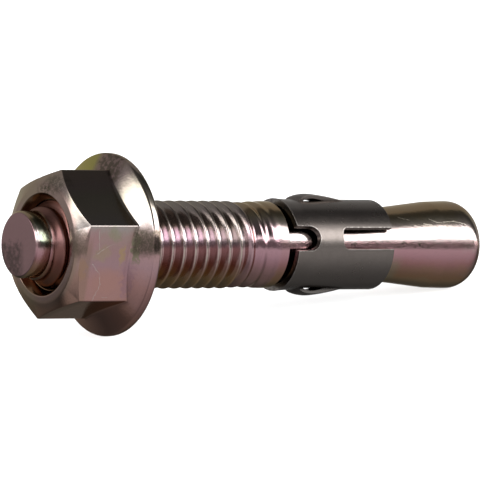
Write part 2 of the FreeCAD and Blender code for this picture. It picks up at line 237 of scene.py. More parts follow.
# %% The stud's mesh
NECK_START, NECK_STOP, NECK_RADIUS = 41.7, 54.6, 4.8
WEDGE_RADIUS = 6.35
NOSE_START, NOSE_RADIUS, NOSE_FLAT = 73.767, 3.4, 1.5
END = NOSE_START + NOSE_RADIUS
HEAD = [(0, 0, 0), (0, 4.35, 0.1), (0.3, POINT_RADIUS, 0.12), (POINT_LENGTH, POINT_RADIUS, 0)]
TAIL = [
    (THREAD_STOP, COLLAR_RADIUS, 0), (NECK_START, COLLAR_RADIUS, 0.12), (NECK_START, NECK_RADIUS, 0.4),
    (NECK_STOP, NECK_RADIUS, 2.0), (63.4, 5.546, 3.0), (69.8, 6.25, 3.0), (72.87, WEDGE_RADIUS, 1.0),
    (NOSE_START, WEDGE_RADIUS, 0),
]


def turned(profile):
    """Rings of points for a profile of stations and radii."""
    angles = 360 * np.arange(COLUMNS) / COLUMNS
    return place(profile[:, :1], profile[:, 1:], angles)


sweep = np.radians(np.linspace(0, 90, 13))[1:]
nose_stations = NOSE_START + NOSE_RADIUS * np.sin(sweep)
nose_radii = WEDGE_RADIUS - NOSE_RADIUS + NOSE_RADIUS * np.cos(sweep)
nose = np.column_stack([nose_stations, nose_radii])
tail = np.vstack([rounded(TAIL, 6, 4), nose, [(END, NOSE_FLAT), (END, 0)]])
grids = [(turned(rounded(HEAD)), 0), (thread_grid(), -len(ROWS)), (turned(tail), 0)]
points, faces, count = [], [], 0
for grid, lean in grids:
    faces.append(ring_faces(grid.shape[0], COLUMNS, lean, count))
    points.append(grid.reshape(-1, 3))
    count += len(points[-1])
stud = make_mesh("stud", np.vstack(points), np.vstack(faces))
seat(stud, "stud", "anchor_body")

# %% [markdown]
# ## The flange nut
#
# It is forged: a hexagon with its corners turned off at 30 degrees, and a cone that spreads its load
# like a washer. A forged part has no sharp corner, so the hexagon runs into the cone with a root
# radius. At each angle the nut is one profile, whose hexagon stands further out at the corners, so the
# curved line where the bevel meets the flats comes by itself. The columns crowd at the corners.
#
# The nut turns without moving along, as its joint says, so its own thread would cut the stud's. It is
# shown only as far as it can be seen, at the mouth, and keeps just clear of the stud.

# %% The hexagon and the nut's profile
HALF_FLATS, CORNER_ROUND = 9.35, 0.25
HEX_CORNER, HEX_SECTOR = 13.5, 60
MOUTH_DEPTH, MOUTH_INNER, MOUTH_OUTER = 5.2, 6.35, 7.15
CROWN_START, CROWN_SLOPE, CROWN_RADIUS = 3.8, 0.15, 8.2
BEVEL_AT, BEVEL_FROM, BEVEL_ANGLE = 4.2, 9.15, 30
CONE_AT, CONE_ANGLE = 7.244, 28
RIM_START, NUT_STOP, RIM_RADIUS = 14.05, 15.3, 12.8
BORE_STOP, BORE_RADIUS, BORE_EDGE = 14.75, 6.285, 6.9


def hex_radius(angle):
    """The hexagon's radius at an angle, with a small round on each of its corners."""
    half = HEX_SECTOR / 2
    slant = math.cos(math.radians(half))
    off = np.radians((angle - HEX_CORNER + half) % HEX_SECTOR - half)
    flat = HALF_FLATS / np.cos(np.radians(half) - np.abs(off))
    centre = (HALF_FLATS - CORNER_ROUND) / slant
    inside = np.maximum(CORNER_ROUND ** 2 - (centre * np.sin(off)) ** 2, 0)
    tangent = math.atan2(CORNER_ROUND / 2, centre + CORNER_ROUND * slant)
    return np.where(np.abs(off) < tangent, centre * np.cos(off) + np.sqrt(inside), flat)


def nut_outside(angle):
    """The nut's profile at one angle, from the mouth over the hexagon and the flange to the bore."""
    reach = float(hex_radius(angle))
    bevel_end = BEVEL_AT + (reach - BEVEL_FROM) * math.tan(math.radians(BEVEL_ANGLE))
    cone_start = CONE_AT + reach * math.tan(math.radians(CONE_ANGLE))
    return rounded([
        (MOUTH_DEPTH, MOUTH_INNER, 0), (CROWN_START, MOUTH_OUTER, 0.15),
        (CROWN_START + CROWN_SLOPE, CROWN_RADIUS, 1.5), (bevel_end, reach, 0.12),
        (cone_start, reach, 0.5), (RIM_START, RIM_RADIUS, 0.5),
        (NUT_STOP, RIM_RADIUS, 0.6), (NUT_STOP, BORE_EDGE, 0.15), (BORE_STOP, BORE_RADIUS, 0),
    ], steps=6, runs=4)


# %% The nut's bore, with the thread at its mouth
RIDGE_ROOT, RIDGE_HEIGHT, CLEARANCE = 6.42, 0.98, 0.06
OPENING, OPENED_TO = 0.3, 5.3
FADES_FROM, SHOWN_TO, ROW_STEP = 6.2, 7.2, 0.06


def nut_bore(angle):
    """The bore's profile at one angle, from the bearing face back to the mouth with its thread."""
    plain = np.linspace(14, SHOWN_TO + 0.2, 8)
    threaded = np.arange(SHOWN_TO, MOUTH_DEPTH + 0.01, -ROW_STEP)
    stations = np.concatenate([[BORE_STOP], plain, threaded, [MOUTH_DEPTH]])
    from_crest = (stations - CREST_AT + PITCH * angle / 360 + PITCH / 2) % PITCH - PITCH / 2
    ridge = RIDGE_ROOT - RIDGE_HEIGHT * groove(from_crest)
    clear = np.interp(stations, *zip(*CREST_LINE[1:3])) + CLEARANCE
    open_end = np.interp(stations, [MOUTH_DEPTH, MOUTH_DEPTH + OPENING], [MOUTH_INNER, OPENED_TO])
    radius = np.maximum.reduce([ridge, clear, open_end])
    fade = np.interp(stations, [FADES_FROM, SHOWN_TO], [0, 1])
    return np.column_stack([stations, radius + (BORE_RADIUS - radius) * fade])


FROM_CORNER = [0, 0.25, 0.5, 0.7, 1.1, 1.8, 3, 5, 7.5, 10, 12.5, 15, 17.5, 20, 22.5, 25, 27.5, 30]
sector = sorted({-x for x in FROM_CORNER[1:]} | set(FROM_CORNER[:-1]))
nut_angles = np.concatenate([np.array(sector) + HEX_CORNER + HEX_SECTOR * k for k in range(6)])
profiles = [np.vstack([nut_bore(a), nut_outside(a)[1:]]) for a in nut_angles]
profiles = np.stack(profiles, axis=1)
nut_points = place(profiles[..., 0], profiles[..., 1], nut_angles)
nut_rows = np.concatenate([nut_points, nut_points[:1]])
nut = make_mesh("nut", nut_rows, ring_faces(len(nut_rows), len(nut_angles)))
seat(nut, "nut", "flange_nut")

# %% [markdown]
# ## The expansion clip
#
# The clip is stamped flat from sheet steel and then rolled round the neck. It could be a tube with
# pieces cut out, but the cut faces would be wrong, because they follow the sheet. So it is made as the
# real one is: a flat blank of small cells with its openings left out, each point of an opening pulled
# onto its true outline, then rolled up and given its thickness.

# %% The flat blank
CLIP_START, CLIP_STOP = 43.0, 59.9
SHEET, INNER = 0.92, 5.55
OUTER = INNER + SHEET
MIDDLE = INNER + SHEET / 2
SLOTS_AT, SEAM_HALF = 7.8, 0.45
NOTCH_HALF, NOTCH_ROUND_AT = 1.64, 45.3
SLOT_HALF, SLOT_CORNER, SLOT_START = 1.45, 0.85, 51.0
WINGS_AT, WING_HALF = (-90, 90), 15.6
WING_START, WING_PEAK, WING_STOP, WING_RISE, WING_HOLLOW = 46.4, 48.6, 54.3, 0.83, 6.58
FLARE_STOP, FLARE = 45.4, 0.16
CELL = 0.17


def in_degrees(width):
    """The angle that a width in mm takes on the rolled sheet."""
    return math.degrees(width / MIDDLE)


def metal(angle, station):
    """How far a point of the blank is from the nearest opening in mm, negative inside one."""
    across = np.radians(angle - SLOTS_AT) * MIDDLE
    notch = np.hypot(across, np.maximum(station - NOTCH_ROUND_AT, 0)) - NOTCH_HALF
    beside = np.abs(across) - (SLOT_HALF - SLOT_CORNER)
    before = SLOT_START + SLOT_CORNER - station
    slot = np.hypot(np.maximum(beside, 0), np.maximum(before, 0)) - SLOT_CORNER
    slot = slot + np.minimum(np.maximum(beside, before), 0)
    return np.minimum(notch, slot)


def divided(stops, step):
    """Numbers that pass through every stop, no further apart than `step`."""
    stops = sorted(set(stops))
    out = [stops[0]]
    for low, high in zip(stops, stops[1:]):
        parts = max(1, round((high - low) / step))
        out.extend(low + (high - low) * k / parts for k in range(1, parts + 1))
    return np.array(out)


edges = [SLOTS_AT + side * in_degrees(half) for side in (-1, 1) for half in (NOTCH_HALF, SLOT_HALF)]
wings = [middle + side * WING_HALF for middle in WINGS_AT for side in (-1, 1)]
ends = [SLOTS_AT - 180 + in_degrees(SEAM_HALF), SLOTS_AT + 180 - in_degrees(SEAM_HALF)]
across = divided([*edges, *wings, *ends], in_degrees(CELL))
along = divided([CLIP_START, NOTCH_ROUND_AT, WING_START, WING_PEAK, SLOT_START, WING_STOP, CLIP_STOP], CELL)
ANGLE, STATION = np.meshgrid(across, along, indexing="ij")
middle_angle, middle_station = (across[1:] + across[:-1]) / 2, (along[1:] + along[:-1]) / 2
kept = metal(*np.meshgrid(middle_angle, middle_station, indexing="ij")) > 0
print("blank of", kept.shape, "cells,", int(kept.sum()), "of them steel")

# %% [markdown]
# Points at the border of an opening are pulled onto its outline along the steepest way.

# %% Pull the border onto the outline
padded = np.pad(kept, 1, mode="edge")
around_point = np.stack([padded[:-1, :-1], padded[1:, :-1], padded[:-1, 1:], padded[1:, 1:]])
border = around_point.any(axis=0) & ~around_point.all(axis=0)
nudge = 0.01
for _ in range(3):
    here = metal(ANGLE, STATION)
    slope_across = (metal(ANGLE + in_degrees(nudge), STATION) - here) / nudge
    slope_along = (metal(ANGLE, STATION + nudge) - here) / nudge
    size = np.maximum(slope_across ** 2 + slope_along ** 2, 0.3)
    ANGLE = np.where(border, ANGLE - in_degrees(1) * here * slope_across / size, ANGLE)
    pulled = np.clip(STATION - here * slope_along / size, CLIP_START, CLIP_STOP)
    STATION = np.where(border, pulled, STATION)
print("border points", int(border.sum()))

# %% [markdown]
# The press has cut each wing free along both sides and pushed it out as a bridge, steep in front and
# with a long slope behind. A wing's underside is stretched flat. The clip's first edge flares a
# little.

# %% Roll it up, press the wings out and give it thickness
def wing_lift(station):
    """How far a wing stands out, from 0 at its ends to 1: steep in front, and a long slope behind."""
    ahead = np.clip((WING_PEAK - station) / (WING_PEAK - WING_START), 0, 1)
    behind = np.clip((station - WING_PEAK) / (WING_STOP - WING_PEAK), 0, 1)
    return np.where(station < WING_PEAK, np.sqrt(1 - ahead ** 2), 1 - behind ** 1.45)


def wing_radius(lift, off, inner):
    """A wing's radius: its outside stays round, its inside is stretched flat and a little thinner."""
    if not inner:
        return OUTER + WING_RISE * lift
    return (INNER + (WING_HOLLOW - INNER) * lift) / math.cos(math.radians(off) * lift)


def flare(station):
    """The small flare of the first edge."""
    return FLARE * np.clip((FLARE_STOP - station) / (FLARE_STOP - CLIP_START), 0, 1) ** 1.3


in_wing_across = np.abs(np.abs(middle_angle) - 90) < WING_HALF
in_wing_along = (middle_station > WING_START) & (middle_station < WING_STOP)
in_wing = in_wing_across[:, None] & in_wing_along[None, :]
clip_points, point_of = [], {}


def clip_point(i, j, wing, inner):
    """The number of a point of the rolled sheet. A wing shares its points with the sheet at its ends."""
    lift = float(wing_lift(STATION[i, j]))
    lifted = bool(wing) and lift > 1e-6
    key = (i, j, lifted, inner)
    if key not in point_of:
        radius = (INNER if inner else OUTER) + flare(STATION[i, j])
        if lifted:
            radius = wing_radius(lift, abs(ANGLE[i, j]) - 90, inner)
        point_of[key] = len(clip_points)
        clip_points.append((STATION[i, j], radius, ANGLE[i, j]))
    return point_of[key]


clip_faces, rims = [], {}
for i, j in zip(*np.nonzero(kept)):
    wing = in_wing[i, j]
    cell = [(i, j), (i + 1, j), (i + 1, j + 1), (i, j + 1)]
    outer = [clip_point(*p, wing, False) for p in cell]
    inner = [clip_point(*p, wing, True) for p in cell]
    clip_faces.append(outer)
    clip_faces.append(inner[::-1])
    for k in range(4):
        one, two = k, (k + 1) % 4
        edge = frozenset((outer[one], outer[two]))
        rims[edge] = None if edge in rims else (outer[one], inner[one], inner[two], outer[two])
clip_faces.extend(list(wall) for wall in rims.values() if wall)
station, radius, angle = np.array(clip_points).T
clip = make_mesh("clip", place(station, radius, angle), np.array(clip_faces), 40)
seat(clip, "clip", "expansion_clip")
worn = clip.modifiers.new("worn_edges", "BEVEL")
worn.width = 0.06 * MM
worn.segments = 2
worn.limit_method = "ANGLE"
worn.angle_limit = math.radians(50)
worn.harden_normals = True

# %% [markdown]
# ## Sums in a material
#
# A finish is a sum of masks and tones. Wiring each sum by hand hides it in boxes, so one small class
# wraps a socket, and Python's own signs add the Math nodes. Any other node comes from one method.

# %% A socket that can be added and multiplied
class Wire:
    """The value that comes out of a node."""

    def __init__(self, finish, socket):
        self.finish = finish
        self.socket = socket

    def math(self, operation, *values):
        return self.finish.node("ShaderNodeMath", {"operation": operation}, list(values))

    def __add__(self, other):
        return self.math("ADD", self, other)

    def __sub__(self, other):
        return self.math("SUBTRACT", self, other)

    def __rsub__(self, other):
        return self.math("SUBTRACT", other, self)

    def __mul__(self, other):
        return self.math("MULTIPLY", self, other)

    def __truediv__(self, other):
        return self.math("DIVIDE", self, other)

    def __pow__(self, other):
        return self.math("POWER", self, other)

    def __abs__(self):
        return self.math("ABSOLUTE", self)

    __radd__ = __add__
    __rmul__ = __mul__

    def at_least(self, other):
        return self.math("MAXIMUM", self, other)

    def at_most(self, other):
        return self.math("MINIMUM", self, other)

    def between(self, low, high):
        """0 below `low`, 1 above `high` and smooth between them."""
        settings = {"interpolation_type": "SMOOTHSTEP"}
        return self.finish.node("ShaderNodeMapRange", settings, [self, low, high, 0.0, 1.0])

    def band(self, low, high, soft):
        """1 between two limits, with soft borders."""
        return self.between(low - soft, low + soft) * self.between(high + soft, high - soft)


class Finish:
    """A node tree that is built from Python: of a material, or of the studio's surroundings."""

    def __init__(self, tree):
        self.tree = tree
        tree.nodes.clear()

    def node(self, kind, settings, sockets, output=0):
        """One node: its settings first, then its sockets by number or name, and one output as a Wire."""
        made = self.tree.nodes.new(kind)
        for name, value in settings.items():
            if name == "stops":
                self.colour_stops(made.color_ramp, value)
            else:
                setattr(made, name, value)
        pairs = sockets.items() if isinstance(sockets, dict) else enumerate(sockets)
        for name, value in pairs:
            if isinstance(value, Wire):
                self.tree.links.new(value.socket, made.inputs[name])
            elif value is not None:
                made.inputs[name].default_value = value
        return Wire(self, made.outputs[output]) if made.outputs else made

    def colour_stops(self, ramp, stops):
        while len(ramp.elements) > 1:
            ramp.elements.remove(ramp.elements[-1])
        for k, (place_on_ramp, colour) in enumerate(stops):
            stop = ramp.elements[0] if k == 0 else ramp.elements.new(place_on_ramp)
            stop.position = place_on_ramp
            stop.color = (*colour, 1)

    def blend(self, amount, one, other):
        """One colour over another by an amount."""
        settings = {"data_type": "RGBA", "clamp_factor": True}
        other = other if isinstance(other, Wire) else (*other, 1)
        return self.node("ShaderNodeMix", settings, {0: amount, 6: one, 7: other}, 2)

    def coats(self, tone, layers):
        """Several colours, one over another, each by its own amount."""
        for amount, colour in layers:
            tone = self.blend(amount, tone, colour)
        return tone

    def dot(self, vector, direction):
        settings = {"operation": "DOT_PRODUCT"}
        return self.node("ShaderNodeVectorMath", settings, [vector, tuple(direction)], "Value")

    def vector(self, x, y, z):
        return self.node("ShaderNodeCombineXYZ", {}, [x, y, z])

    def noise(self, vector, scale, detail=2.0, roughness=0.5, seed=0.0):
        """Noise from 0 to 1 whose lumps are about 1 / scale mm wide."""
        sockets = {"Vector": vector, "W": seed, "Scale": scale, "Detail": detail, "Roughness": roughness}
        return self.node("ShaderNodeTexNoise", {"noise_dimensions": "4D"}, sockets)


# %% [markdown]
# ## Coordinates for a finish
#
# The plating's tones and the tool marks follow the stud, so every finish first works out a point's
# station, its distances across the axis and how high it lies round the axis, from the object
# coordinates. These ride with the piece, so nothing slides when it moves. Patches and scratches are
# then masks drawn in those coordinates.

# %% Where a shaded point lies, and the masks drawn there
class Spot:
    """A shaded point: its station, front and up in mm, its radius, and the sine of its angle."""

    def __init__(self, finish):
        point = finish.node("ShaderNodeTexCoord", {}, [], "Object")
        settings = {"operation": "SUBTRACT"}
        self.finish = finish
        self.from_start = finish.node("ShaderNodeVectorMath", settings, [point, tuple(FLAT_POINT)])
        self.station = self.along(ALONG)
        self.front = self.along(FRONT)
        self.up = self.along(UPWARD)
        self.radius = (self.front * self.front + self.up * self.up) ** 0.5
        self.sine = self.up / (self.radius + 0.01)
        self.place = finish.vector(self.station, self.front, self.up)

    def along(self, direction):
        return self.finish.dot(self.from_start, direction / MM)


def patch(x, y, middle, half):
    """A soft oval patch."""
    off_x, off_y = (x - middle[0]) / half[0], (y - middle[1]) / half[1]
    return (off_x * off_x + off_y * off_y).between(1.5, 0.1)


def stroke(x, y, start, end, width):
    """A thin line between two points."""
    length = math.dist(start, end)
    run, rise = (end[0] - start[0]) / length, (end[1] - start[1]) / length
    past = (x - start[0]) * run + (y - start[1]) * rise
    off = (x - start[0]) * rise - (y - start[1]) * run
    beyond = (past * -1).at_least(past - length).at_least(0.0)
    return ((off * off + beyond * beyond) ** 0.5).between(width, 0.0)


# %% The shader that every finish ends in
def new_finish(name):
    material = bpy.data.materials.new(name)
    material.use_nodes = True
    return material, Finish(material.node_tree)


def metal_shader(finish, base, rough, height, edge_tint):
    """The surface itself. Its dents are given in mm. What is the same all over is set on its sockets."""
    normal = finish.node("ShaderNodeBump", {}, {"Strength": 1.0, "Distance": MM, "Height": height})
    shader = finish.tree.nodes.new("ShaderNodeBsdfPrincipled")
    shader.inputs["Metallic"].default_value = 1.0
    shader.inputs["Specular Tint"].default_value = edge_tint
    finish.tree.links.new(base.socket, shader.inputs["Base Color"])
    finish.tree.links.new(rough.socket, shader.inputs["Roughness"])
    finish.tree.links.new(normal.socket, shader.inputs["Normal"])
    out = finish.tree.nodes.new("ShaderNodeOutputMaterial")
    finish.tree.links.new(shader.outputs[0], out.inputs[0])


# %% [markdown]
# ## Yellow zinc
#
# Zinc plating dipped in chromate has a clear film on it, so thin that it colours what it mirrors, and its
# colour changes with the angle at which it is seen. Here that change is painted as a tone by the height
# round each piece: olive and brown on top, nearly clear in front, then pink, mauve, brown and olive below,
# so the ramps are a painted reflection colour. They hold painted highlight and shade as well: the plating
# is nearly neutral where the soft box's highlight falls, and the thread's tone is brightest there and
# darker above it. One ramp gives the tone by the sine of the angle, and slow noise moves its borders
# about. The thread's ramp is more maroon. The clip has no such film: its dark steel is a ramp of greys,
# painted lighter just under its highlight and darker above it.

# %% The tones by height, partly painted reflection, highlight and shade
SHAFT = [
    (-1.0, (0.40, 0.33, 0.24)), (-0.9, (0.44, 0.31, 0.19)), (-0.8, (0.44, 0.26, 0.155)),
    (-0.62, (0.44, 0.25, 0.185)), (-0.47, (0.44, 0.22, 0.215)), (-0.33, (0.44, 0.235, 0.26)),
    (-0.15, (0.44, 0.25, 0.275)), (0.02, (0.44, 0.27, 0.275)), (0.12, (0.42, 0.36, 0.35)),
    (0.42, (0.42, 0.35, 0.33)), (0.6, (0.42, 0.37, 0.29)), (0.72, (0.42, 0.34, 0.22)),
    (0.82, (0.44, 0.31, 0.185)), (0.92, (0.44, 0.33, 0.22)), (1.0, (0.44, 0.36, 0.24)),
]
THREAD = [
    (-1.0, (0.44, 0.32, 0.20)), (-0.85, (0.48, 0.30, 0.14)), (-0.7, (0.44, 0.26, 0.17)),
    (-0.52, (0.36, 0.18, 0.15)), (-0.35, (0.42, 0.27, 0.265)), (-0.1, (0.49, 0.325, 0.33)),
    (0.1, (0.60, 0.48, 0.53)), (0.35, (0.50, 0.39, 0.43)), (0.5, (0.34, 0.28, 0.25)),
    (0.8, (0.34, 0.28, 0.26)), (1.0, (0.34, 0.30, 0.26)),
]
NUT = [
    (-1.0, (0.40, 0.24, 0.20)), (-0.85, (0.44, 0.24, 0.19)), (-0.7, (0.46, 0.26, 0.24)),
    (-0.5, (0.47, 0.26, 0.245)), (-0.3, (0.43, 0.27, 0.29)), (-0.1, (0.43, 0.27, 0.27)),
    (0.1, (0.43, 0.30, 0.28)), (0.25, (0.42, 0.37, 0.35)), (0.5, (0.40, 0.35, 0.29)),
    (0.7, (0.36, 0.32, 0.26)), (0.85, (0.36, 0.28, 0.26)), (1.0, (0.38, 0.30, 0.24)),
]
# Painted light and shade: the clip's greys are lighter just under its highlight and darker above it.
GREYS = [
    (-1.0, 0.18), (-0.5, 0.19), (-0.15, 0.205), (-0.02, 0.29), (0.06, 0.25), (0.15, 0.195), (0.27, 0.17),
    (0.38, 0.1), (0.5, 0.12), (0.6, 0.18), (0.75, 0.195), (1.0, 0.18),
]
STEEL = [(sine, (grey, grey * 0.87, grey * 0.8)) for sine, grey in GREYS]


# Painted reflection, highlight and shade: the tone is set by the height round the axis.
def painted_tone_by_height(spot, tones, wobble):
    stops = [((sine + 1) / 2, tone) for sine, tone in tones]
    return spot.finish.node("ShaderNodeValToRGB", {"stops": stops}, [spot.sine * 0.5 + 0.5 + wobble])


print("tones on the shaft, the thread, the nut and the clip:", *map(len, (SHAFT, THREAD, NUT, STEEL)))

# %% [markdown]
# ## The stud's finish
#
# Over the ramp's tones lie coats of colour: the marks of making and handling, and some painted light
# and shade. Towards the waist, the band of the thread where the highlight falls is painted greyer and
# dimmer, a painted shade. The crests are rubbed bare, the run-out is pink, and the first turns in the
# nut's mouth are darkened to a dark red. The top of the dog point is painted nearly black, which dims
# what it mirrors, and a green glint is painted on it. A speckled dark band on the front of the run-out,
# at the height of the axis, is a painted dark reflection. The flat face is mauve with grime low on one
# side.
#
# Handling has dented and scratched the plating. The dents are real heights for a Bump node, in mm, so
# the borders of what the metal mirrors become ragged, as they are on the real thing. There are fine
# turned rings on the waist and the collar, and scuffs on the wedge.

# %% The stud
# The dark colour serves both sooty marks and painted dark reflections.
BARE, SOOT_AND_DARK_REFLECTION, DULL = (0.50, 0.42, 0.37), (0.10, 0.085, 0.06), (0.12, 0.10, 0.08)
WAIST_HIGHLIGHT_GREY, RUNOUT_PINK, MOUTH_RED = (0.33, 0.30, 0.275), (0.44, 0.26, 0.31), (0.20, 0.075, 0.06)
POINT_BLACK, POINT_GLINT_GREEN = (0.12, 0.135, 0.095), (0.36, 0.42, 0.33)
TIP_CLEAR, WEDGE_OLIVE = (0.42, 0.34, 0.32), (0.34, 0.33, 0.24)
FACE_MAUVE, FACE_GRIME = (0.32, 0.195, 0.205), (0.09, 0.065, 0.065)
SCUFFED = (0.62, 0.56, 0.46)
ZINC_EDGE = (0.9, 0.82, 0.7, 1)
LUMPS, GRAIN, TURNING = 0.012, 0.003, 0.001
SCUFFS = [
    ((67.4, 3.66), (68.5, 3.17)), ((68.5, 3.17), (71.4, 3.34)), ((71.4, 3.34), (73.5, 2.9)),
    ((66.2, 3.0), (67.6, 2.8)), ((62.5, 3.9), (64.0, 3.5)),
]


def stud_zinc():
    material, finish = new_finish("stud_zinc")
    spot = Spot(finish)
    station, front, up, sine = spot.station, spot.front, spot.up, spot.sine
    slow = finish.noise(spot.place, 0.3, 3.0, 0.6, 1.0)
    quick = finish.noise(spot.place, 1.7, 2.0, 0.55, 2.0)
    fine = finish.noise(spot.place, 6.0, 2.0, 0.6, 3.0)
    turning = finish.noise(finish.vector(station * 9, front * 0.4, up * 0.4), 1.0, 2.0, 0.5, 4.0)
    wobble = (slow - 0.5) * 0.09 + (quick - 0.5) * 0.05
    ragged = station + (quick - 0.5) * 0.8
    near_side = front.between(0, 2)

    threaded = station.between(36.6, 35.2) * station.between(2.5, 2.9)
    # Painted shade: greyer and dimmer where the highlight falls on the thread towards the waist.
    dimmed_waist_highlight = station.between(24, 33) * sine.band(0.0, 0.5, 0.12) * threaded
    crest = spot.radius.between(6.13, 6.21) * threaded * (quick - 0.1).between(0.1, 0.5)
    runout = ragged.band(34.6, 40.2, 0.4) * sine.between(0.75, 0.3)
    # The first turns inside the nut's mouth are darkened to a dark red, which dims what they mirror.
    mouth = station.band(2.5, 7.0, 0.4)
    # The top of the dog point is painted nearly black, and a green glint is painted on it.
    point = ragged.band(0.5, 2.4, 0.2) * sine.between(-0.25, 0.1)
    painted_glint = patch(station, up, (1.5, 0.9), (1.0, 0.9)) * point
    tip = station.between(71.5, 74.5) * slow.between(0.35, 0.6)
    beside_clip = (station + slow * 3).band(60.0, 63.5, 1.2) * sine.between(-0.2, -0.6)
    face = station.between(0.12, 0.02)
    grime = (up + quick * 2).between(1.8, 0.4) * (front + slow * 2).between(2.8, 0.8) * face
    grime = grime * ((fine * 0.5 + quick * 0.5).between(0.62, 0.44) * 0.7 + 0.3)
    dull = fine.between(0.55, 0.75)
    # Painted dark reflection: speckles on the run-out's front, at the height of the axis.
    dark_reflection_flecks = sine.band(-0.1, 0.1, 0.04) * station.between(38.5, 40.0) * near_side
    marks = stroke(station, up, *SCUFFS[0], 0.12)
    for start, end in SCUFFS[1:]:
        marks = marks + stroke(station + (quick - 0.5), up, start, end, 0.12)
    marks = marks * near_side * quick.between(0.3, 0.5)

    # The tones by height are partly painted reflection colour, highlight and shade.
    film = painted_tone_by_height(spot, SHAFT, wobble)
    film = finish.blend(threaded, film, painted_tone_by_height(spot, THREAD, wobble))
    tone = finish.coats(film, [
        (dimmed_waist_highlight * 0.7, WAIST_HIGHLIGHT_GREY),
        (crest * (sine.between(-0.7, -0.3) * 0.6 + 0.2), BARE),
        (runout * 0.55, RUNOUT_PINK),
        (mouth * 0.85, MOUTH_RED),
        (point * 0.8, POINT_BLACK),
        (painted_glint * 0.8, POINT_GLINT_GREEN),
        (tip * 0.6, TIP_CLEAR),
        (beside_clip * 0.5, WEDGE_OLIVE),
        (face, FACE_MAUVE),
        (grime * 0.85, FACE_GRIME),
        (dull * 0.25, DULL),
        (dark_reflection_flecks * (fine * 0.6 + quick * 0.4).between(0.5, 0.6) * 0.8, SOOT_AND_DARK_REFLECTION),
        (marks * 0.6, SCUFFED),
    ])
    rough = 0.1 + dull * 0.1 + turning * 0.05 + threaded * 0.05 + mouth * 0.15 + marks * 0.25
    rings = station.band(34.4, 40.6, 0.2)
    scuffs = sine.band(0.42, 0.8, 0.08) * station.between(60.0, 63.0) * near_side
    height = (quick - 0.5) * (LUMPS + scuffs * 0.012)
    height = height + (fine - 0.5) * (GRAIN + dark_reflection_flecks * 0.025 + scuffs * 0.004)
    height = height + (turning - 0.5) * (TURNING + rings * 0.004)
    metal_shader(finish, tone, rough, height, ZINC_EDGE)
    return material


# %% [markdown]
# ## The nut's finish
#
# A spanner has been on the nut: the flat in front has patches of green, yellow and orange film and a
# few fine scratches. They are written as places on that flat, and a slow noise pushes them out of true.
# The face round the mouth is greyer and browner, worn olive at its top and bottom, with blots and small
# dints. In front, a speckled dark streak across the flange and the crown is a painted dark reflection,
# at the height of the axis. On top the flange has a sooty smudge, and its back is yellow.

# %% The nut
FLAT_FACES = -16.5
FLAT_OUT, FLAT_UP = spoke(FLAT_FACES), spoke(FLAT_FACES + 90)
PATCHES = [
    ((9.3, 4.3), (1.1, 1.4), (0.30, 0.33, 0.19), 0.45),
    ((11.0, 1.3), (0.5, 1.6), (0.50, 0.36, 0.13), 0.5),
    ((7.6, 1.3), (1.6, 1.1), (0.42, 0.33, 0.21), 0.5),
    ((4.7, -0.8), (0.8, 1.8), (0.52, 0.29, 0.17), 0.55),
    ((12.7, 2.2), (0.35, 2.2), (0.13, 0.19, 0.07), 0.55),
    ((12.2, -2.5), (0.7, 3.2), (0.34, 0.20, 0.25), 0.5),
    ((8.9, -2.8), (2.4, 2.0), (0.49, 0.27, 0.23), 0.5),
    ((5.8, 3.7), (1.2, 1.8), (0.47, 0.25, 0.27), 0.5),
]
SCRATCHES = [
    ((6.46, 5.36), (7.13, 2.02)), ((6.87, 1.49), (9.31, 2.77)), ((6.41, 0.0), (7.65, -1.4)),
    ((7.65, -1.4), (8.16, -3.04)), ((8.16, -3.04), (7.3, -5.27)), ((8.74, -4.9), (9.53, -4.97)),
]
DINTS = [
    ((-0.9, 8.1), 0.45), ((0.2, 7.5), 0.4), ((1.2, 7.7), 0.3), ((-3.6, -8.6), 0.35), ((-2.6, -8.9), 0.3),
]
WORN = [((-4.0, 7.5), (4.0, 2.0)), ((-4.5, -7.5), (3.0, 2.5))]
BLOTS = [((2.6, 8.2), (2.6, 1.5)), ((0.3, 7.6), (1.6, 0.9))]
NUT_FACE, BEVEL_BROWN, WORN_OLIVE = (0.33, 0.235, 0.21), (0.30, 0.205, 0.145), (0.30, 0.26, 0.17)
FLANGE_YELLOW, SMUDGED, BORE_BROWN = (0.40, 0.36, 0.11), (0.26, 0.17, 0.165), (0.30, 0.17, 0.09)
SCRATCHED = (0.60, 0.53, 0.49)


